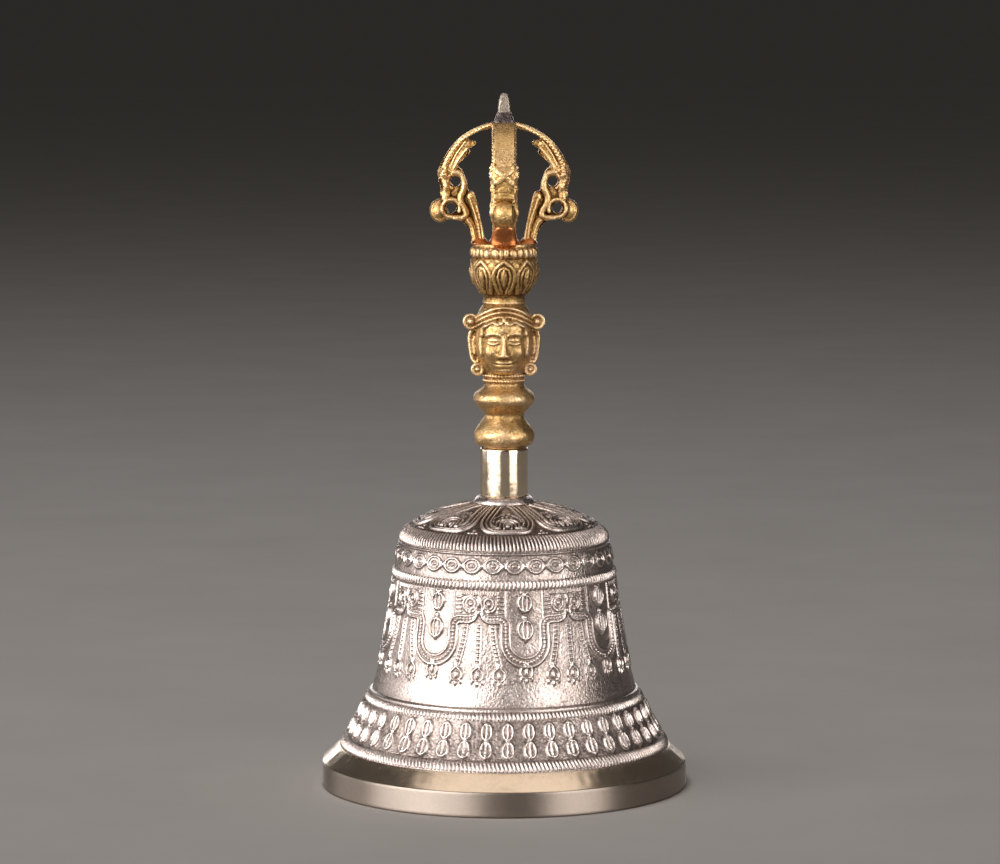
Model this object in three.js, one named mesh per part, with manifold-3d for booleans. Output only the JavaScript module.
// Tibetan hand bell (drilbu) with a head-and-lotus grip and a half-vajra crown.
// Millimetres, +Z up. The origin is the centre of the mouth on the table; the face looks along -Y.
import * as THREE from "three";
import { mergeVertices } from "three/addons/utils/BufferGeometryUtils.js";
import Module from "manifold-3d";

// ---------------------------------------------------------------- driving dimensions
const HEIGHT = 170; // table to the tip of the vajra
const RIM_RADIUS = 45; // outside of the vertical rim band
const MOUTH_RADIUS = 40; // inside of the rim at the mouth
const RIM_BAND_TOP = 6; // height of the vertical rim band
const CROWN_Z = 69.4; // flat top of the bell's crown
const CROWN_THICK = 2.8; // crown thickness at the tie rod
const CROWN_FLAT_RADIUS = 7.8;
const ROD_RADIUS = 2.5; // tie rod, as an M5 stud
const FIT = 0.3; // gap between pieces that touch round a shaft
const COLLAR_TOP = 71.5;
const SLEEVE_TOP = 83.3;
const SLEEVE_RADIUS = 5.85;
const GRIP_BOTTOM = 83.9;
const HEAD_Z = 110; // middle of the head
const DISC_TOP = 133.5; // flat seat of the five prongs
const PRONG_WIDTH = 5.1; // across the flat of a curved prong
const PRONG_COUNT = 4;
const WASHER_THICK = 1;
const NUT_THICK = 4;
const EYE_RING = 3.2; // eye of the tie rod: wire centre line and wire
const EYE_WIRE = 1.25;
const LINK_RING = 4.1;
const LINK_WIRE = 1;
const CLAPPER_RING = 3;
const CLAPPER_WIRE = 1.2;
const LINK_PLAY = 0.25; // slack between two wires that hook into each other
const BOB_RADIUS = 7.5;
const BOB_Z = 10.6; // centre of the clapper's bob
const CLAPPER_ROD_RADIUS = 1.5;

// ---------------------------------------------------------------- worked out from them
const CROWN_UNDERSIDE = CROWN_Z - CROWN_THICK;
const HOLE_RADIUS = ROD_RADIUS + FIT;
const WASHER_BOTTOM = CROWN_UNDERSIDE - WASHER_THICK;
const NUT_BOTTOM = WASHER_BOTTOM - NUT_THICK;
const EYE_Z = NUT_BOTTOM - 0.35 - EYE_RING - EYE_WIRE;
const LINK_PIVOT_Z = EYE_Z - EYE_RING; // centre of the eye's lowest wire
const LINK_Z = LINK_PIVOT_Z + EYE_WIRE + LINK_PLAY + LINK_WIRE - LINK_RING;
const CLAPPER_PIVOT_Z = LINK_Z - LINK_RING; // centre of the link's lowest wire
const CLAPPER_EYE_Z = CLAPPER_PIVOT_Z + LINK_WIRE + LINK_PLAY + CLAPPER_WIRE - CLAPPER_RING;

const wasm = await Module();
wasm.setup();

// ---------------------------------------------------------------- materials
const metal = (color, roughness) => new THREE.MeshStandardMaterial({ color, roughness, metalness: 1 });
const antiqueSilver = () => metal(0xb4aa9c, 0.42);
const palePolished = () => metal(0xd8c79c, 0.2);
const castBrass = () => metal(0xb99a4c, 0.48);
const brazeCopper = () => metal(0xb5713a, 0.35);
const plainSteel = () => metal(0x8d8f92, 0.4);

// ---------------------------------------------------------------- solids
function solid(geometry) {
  const bare = geometry.clone();
  bare.deleteAttribute("normal");
  bare.deleteAttribute("uv");
  const merged = mergeVertices(bare, 1e-4);
  return new wasm.Manifold(
    new wasm.Mesh({
      numProp: 3,
      vertProperties: merged.getAttribute("position").array,
      triVerts: new Uint32Array(merged.index.array),
    }),
  );
}

function geometryOf(manifold) {
  const mesh = manifold.getMesh();
  const geometry = new THREE.BufferGeometry();
  geometry.setAttribute("position", new THREE.BufferAttribute(mesh.vertProperties, 3));
  geometry.setIndex(new THREE.BufferAttribute(mesh.triVerts, 1));
  return geometry;
}

const joined = (geometries) => geometries.map(solid).reduce((sum, part) => sum.add(part));
const cut = (body, tools) => tools.map(solid).reduce((rest, tool) => rest.subtract(tool), body);

// Points of a smooth curve through the given [radius, z] knots.
const smooth = (knots, steps) =>
  new THREE.SplineCurve(knots.map(([r, z]) => new THREE.Vector2(r, z))).getPoints(steps);
const corners = (knots) => knots.map(([r, z]) => new THREE.Vector2(r, z));

// A turned solid about Z. The profile runs anticlockwise in the (radius, z) half plane.
function turned(profile, sides) {
  const geometry = new THREE.LatheGeometry(profile, sides);
  geometry.rotateX(Math.PI / 2);
  return geometry;
}

function tube(inner, outer, bottom, top, sides) {
  const profile = corners([
    [inner, bottom],
    [outer, bottom],
    [outer, top],
    [inner, top],
    [inner, bottom],
  ]);
  return turned(profile, sides);
}

const rodAlongZ = (radius, bottom, top, sides) =>
  turned(corners([[0, bottom], [radius, bottom], [radius, top], [0, top]]), sides);

// A wire ring whose own axis lies along X or Y.
function wireRing(ring, wire, z, axis) {
  const geometry = new THREE.TorusGeometry(ring, wire, 8, 20);
  if (axis === "y") geometry.rotateX(Math.PI / 2);
  if (axis === "x") geometry.rotateY(Math.PI / 2);
  return geometry.translate(0, 0, z);
}

function ball(radius, x, y, z, [sx, sy, sz] = [1, 1, 1]) {
  return new THREE.SphereGeometry(radius, 12, 8).scale(sx, sy, sz).translate(x, y, z);
}

function discAlongY(radius, width, x, y, z) {
  return new THREE.CylinderGeometry(radius, radius, width, 14).translate(x, y, z);
}

// ---------------------------------------------------------------- the bell
function bellShell() {
  const foot = corners([[MOUTH_RADIUS + 0.4, 0], [RIM_RADIUS - 0.5, 0], [RIM_RADIUS, 0.7]]);
  const chamfer = corners([[RIM_RADIUS, RIM_BAND_TOP], [40.6, 9.9]]);
  const lowestRing = corners([[40.9, 10.3], [40.1, 11.9]]);
  const flare = smooth([[38.7, 12.5], [36.3, 16.7], [34.3, 20.7]], 3);
  const flareRing = corners([[33.95, 21.5], [33.6, 23.1]]);
  const waist = smooth([[32.4, 24.2], [30.9, 30], [29.3, 38], [27.5, 51.2]], 6);
  const upperRing = corners([[27.55, 52.2], [27.3, 53.6]]);
  const band = corners([[26.75, 54.5], [25.85, 60]]);
  const shoulder = smooth([[25.5, 60.7], [24.7, 62.6], [22.7, 64.4]], 3);
  const dome = smooth([[21, 65.3], [15.2, 67.9], [CROWN_FLAT_RADIUS, CROWN_Z]], 3);
  const hole = corners([[HOLE_RADIUS, CROWN_Z], [HOLE_RADIUS, CROWN_UNDERSIDE]]);
  const underCrown = smooth([[9.5, CROWN_UNDERSIDE], [14, 65.3], [18.6, 63], [21.7, 60], [23.2, 56]], 6);
  const inside = smooth([[24.7, 48], [26.3, 38], [28.2, 28], [30.3, 22.4], [34.2, 14], [37, 9]], 7);
  const soundBow = corners([[39.4, 4], [MOUTH_RADIUS, 0.8], [MOUTH_RADIUS + 0.4, 0]]);
  const outside = [foot, chamfer, lowestRing, flare, flareRing, waist, upperRing, band, shoulder, dome];
  return turned([...outside, hole, underCrown, inside, soundBow].flat(), 56);
}

const crownCollar = () =>
  turned(
    corners([
      [HOLE_RADIUS, CROWN_Z],
      [7.2, CROWN_Z],
      [7.5, CROWN_Z + 0.4],
      [7.4, COLLAR_TOP - 0.5],
      [6.9, COLLAR_TOP],
      [HOLE_RADIUS, COLLAR_TOP],
      [HOLE_RADIUS, CROWN_Z],
    ]),
    32,
  );

const neckSleeve = () => tube(SLEEVE_RADIUS - 1.35, SLEEVE_RADIUS, COLLAR_TOP, SLEEVE_TOP, 32);

// ---------------------------------------------------------------- the cast grip
function gripProfile() {
  const spigot = corners([[0, SLEEVE_TOP], [4.9, SLEEVE_TOP], [4.9, GRIP_BOTTOM], [6.3, GRIP_BOTTOM]]);
  const lowerBead = smooth([[7.1, 84.8], [7.45, 86.4], [6.3, 88.6], [4.6, 91], [6.5, 93.5], [7.55, 95.3]], 8);
  const upperBead = smooth([[7.3, 96.3], [5.6, 97.9], [4.7, 98.7]], 3);
  const necklace = corners([[5.15, 99.6], [5.15, 101]]);
  const neck = smooth([[4.75, 102], [4.75, 118], [4.8, 120.5]], 2);
  const lotus = smooth([[5.7, 121.8], [7.4, 123.6], [8.4, 127], [7.7, 129.9]], 5);
  const pearlRing = smooth([[8.2, 130.1], [8.6, 131.35], [8.2, 132.6]], 2);
  const seat = corners([[7.65, 132.6], [7.65, DISC_TOP], [0, DISC_TOP]]);
  return [spigot, lowerBead, upperBead, necklace, neck, lotus, pearlRing, seat].flat();
}

function castGrip() {
  const skull = turned(
    smooth([[0, 101.4], [6.6, 102], [7.9, 105.6], [8.6, HEAD_Z], [7.9, 115.6], [5.4, 118.4], [0, 119]], 9),
    24,
  ).scale(1, 0.93, 1);
  const sides = [-1, 1].flatMap((side) => [
    ball(1.7, side * 8, 0.4, HEAD_Z - 2.6, [0.85, 1, 2.4]), // ear
    discAlongY(1.9, 3.4, side * 8.45, -0.6, HEAD_Z + 4.4), // rosette over the ear
    discAlongY(1.5, 2.4, side * 6.7, -1.4, HEAD_Z - 7.1), // earring
  ]);
  const threadedBore = rodAlongZ(HOLE_RADIUS, SLEEVE_TOP - 1, 98, 24);
  return geometryOf(cut(joined([turned(gripProfile(), 32), skull, ...sides]), [threadedBore]));
}

// ---------------------------------------------------------------- the half vajra
// One curved prong with a flame tongue inside and a beast's snout outside, drawn in the (distance from
// the axis, z) plane and standing on the seat to the right of the axis.
function curvedProng() {
  const foot = DISC_TOP + 0.6;
  const outer = smooth(
    [[7.4, foot], [8.6, 136.9], [10.4, 138.85], [15.8, 138.6], [18.2, 141], [16.2, 144.5], [15, 145.9],
      [15.75, 149], [14.6, 154.2], [10.7, 159.1], [5.8, 161.75], [2.85, 162.7]],
    24,
  );
  const inner = smooth(
    [[2.85, 161.4], [6.6, 160.3], [8.7, 158.7], [8.8, 156.8], [10.9, 154.2], [11.6, 152.3], [9.8, 149.8],
      [9.2, 147], [7.2, 145.2], [6.1, 140.8], [4.4, foot]],
    20,
  );
  const outline = new THREE.Shape([...outer, ...inner]);
  const blade = new THREE.ExtrudeGeometry(outline, { depth: PRONG_WIDTH, bevelEnabled: false });
  blade.translate(0, 0, -PRONG_WIDTH / 2).rotateX(Math.PI / 2);
  const snout = ball(3.15, 15, 0, 141.1);
  const cheek = ball(3.5, 12.9, 0, 150.4, [0.72, 1, 0.72]);
  const holes = [
    [11.9, 148.4],
    [12.7, 142],
  ].map(([x, z]) => discAlongY(1.3, 12, x, 0, z));
  return geometryOf(cut(joined([blade, snout, cheek]), holes));
}

// The straight middle prong: a square spike with a long taper and a four-sided point.
function middleProng() {
  const waist = 1.5;
  const point = 165;
  const square = [[0, DISC_TOP], [1.9, DISC_TOP], [waist, 137], [waist, point], [1.15, 167], [0.75, 169], [0, HEIGHT]];
  const profile = corners(square.map(([half, z]) => [half * Math.SQRT2, z]));
  return turned(profile, 4).rotateZ(Math.PI / 4);
}

// The square collar of braze where the four curved prongs meet the middle one.
function crownBraze() {
  const half = (width, z) => [width * Math.SQRT2, z];
  const profile = corners([half(1.8, 161), half(2.5, 161), half(2.5, 162.9), half(1.85, 165), half(1.8, 165), half(1.8, 161)]);
  return turned(profile, 4).rotateZ(Math.PI / 4);
}

// The pad of braze under one curved prong's foot.
function footBraze() {
  const pad = new THREE.CylinderGeometry(3.1, 3.5, 0.6, 20);
  return pad.rotateX(Math.PI / 2).scale(0.62, 1, 1).translate(5.3, 0, DISC_TOP + 0.3);
}

// ---------------------------------------------------------------- fastening through the crown
const tieRod = () =>
  geometryOf(
    joined([
      wireRing(EYE_RING, EYE_WIRE, EYE_Z, "y"),
      rodAlongZ(ROD_RADIUS, EYE_Z + EYE_RING, 97, 24),
    ]),
  );

const crownWasher = () => tube(HOLE_RADIUS, 7.5, WASHER_BOTTOM, CROWN_UNDERSIDE, 28);

function crownNut() {
  const acrossFlats = 8;
  const hexagon = rodAlongZ(acrossFlats / Math.sqrt(3), NUT_BOTTOM, WASHER_BOTTOM, 6);
  const bore = rodAlongZ(HOLE_RADIUS, NUT_BOTTOM - 1, WASHER_BOTTOM + 1, 24);
  return geometryOf(cut(solid(hexagon), [bore]));
}

// ---------------------------------------------------------------- the clapper
const clapperLink = () => wireRing(LINK_RING, LINK_WIRE, LINK_Z, "x");

function clapperRod() {
  const rivetTop = BOB_Z - BOB_RADIUS;
  return geometryOf(
    joined([
      wireRing(CLAPPER_RING, CLAPPER_WIRE, CLAPPER_EYE_Z, "y"),
      rodAlongZ(CLAPPER_ROD_RADIUS, rivetTop - 0.6, CLAPPER_EYE_Z - CLAPPER_RING, 20),
      rodAlongZ(2.7, rivetTop - 1.2, rivetTop, 20), // riveted end that holds the bob
    ]),
  );
}

function clapperBob() {
  const bore = CLAPPER_ROD_RADIUS + FIT;
  const bottom = BOB_Z - BOB_RADIUS;
  const belly = smooth([[3.2, bottom], [7.1, BOB_Z - 2.4], [7.4, BOB_Z + 1.2], [4.6, BOB_Z + 6], [2.6, BOB_Z + 8.6]], 9);
  return turned([...corners([[bore, bottom]]), ...belly, ...corners([[bore, BOB_Z + 8.6], [bore, bottom]])], 28);
}

// ---------------------------------------------------------------- the assembly
function piece(name, geometry, material) {
  const mesh = new THREE.Mesh(geometry, material);
  mesh.name = name;
  return mesh;
}

const bell = new THREE.Group();
bell.add(
  piece("bell_shell", bellShell(), antiqueSilver()),
  piece("crown_collar", crownCollar(), antiqueSilver()),
  piece("neck_sleeve", neckSleeve(), palePolished()),
  piece("cast_grip", castGrip(), castBrass()),
  piece("middle_prong", middleProng(), castBrass()),
  piece("crown_braze", crownBraze(), brazeCopper()),
  piece("tie_rod", tieRod(), plainSteel()),
  piece("crown_washer", crownWasher(), plainSteel()),
  piece("crown_nut", crownNut(), plainSteel()),
);

["right", "back", "left", "front"].slice(0, PRONG_COUNT).forEach((side, index) => {
  const quarter = new THREE.Group();
  quarter.rotation.z = (index * 2 * Math.PI) / PRONG_COUNT;
  quarter.add(
    piece(`prong_${side}`, curvedProng(), castBrass()),
    piece(`foot_braze_${side}`, footBraze(), brazeCopper()),
  );
  bell.add(quarter);
});

const link = new THREE.Group();
link.add(piece("clapper_link", clapperLink(), plainSteel()));

const clapper = new THREE.Group();
clapper.add(
  piece("clapper_rod", clapperRod(), plainSteel()),
  piece("clapper_bob", clapperBob(), plainSteel()),
);

const tibetanBell = new THREE.Group();
tibetanBell.add(bell, link, clapper);

export default tibetanBell;
